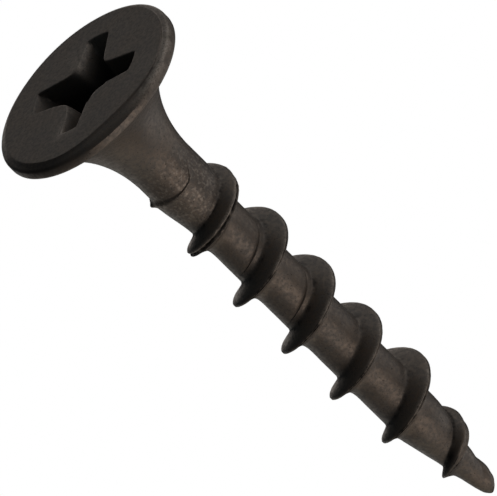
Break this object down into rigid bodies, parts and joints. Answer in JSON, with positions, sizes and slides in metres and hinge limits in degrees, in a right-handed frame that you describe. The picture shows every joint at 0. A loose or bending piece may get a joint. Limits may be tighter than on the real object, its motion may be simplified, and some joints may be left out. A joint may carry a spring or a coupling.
{
  "type": "drywall screw",
  "caption": "Coarse-thread drywall screw with a flat-topped bugle head, cross recess, short plain shank and sharp gimlet point, coated black.",
  "frame": {"origin": "centre of the flat face of the head, on the surface that the screw stands on", "axes": "+Z along the screw's axis from the head's flat face to the point; +X along one wing of the cross recess"},
  "size_m": [0.0084, 0.0084, 0.0249],
  "materials": {
    "black_phosphate_steel": "dull black phosphate coating on hardened steel, slightly brown, worn a little lighter along the thread's crest"
  },
  "bodies": {
    "root": {"drywall_screw": "black_phosphate_steel"}
  },
  "joints": []
}
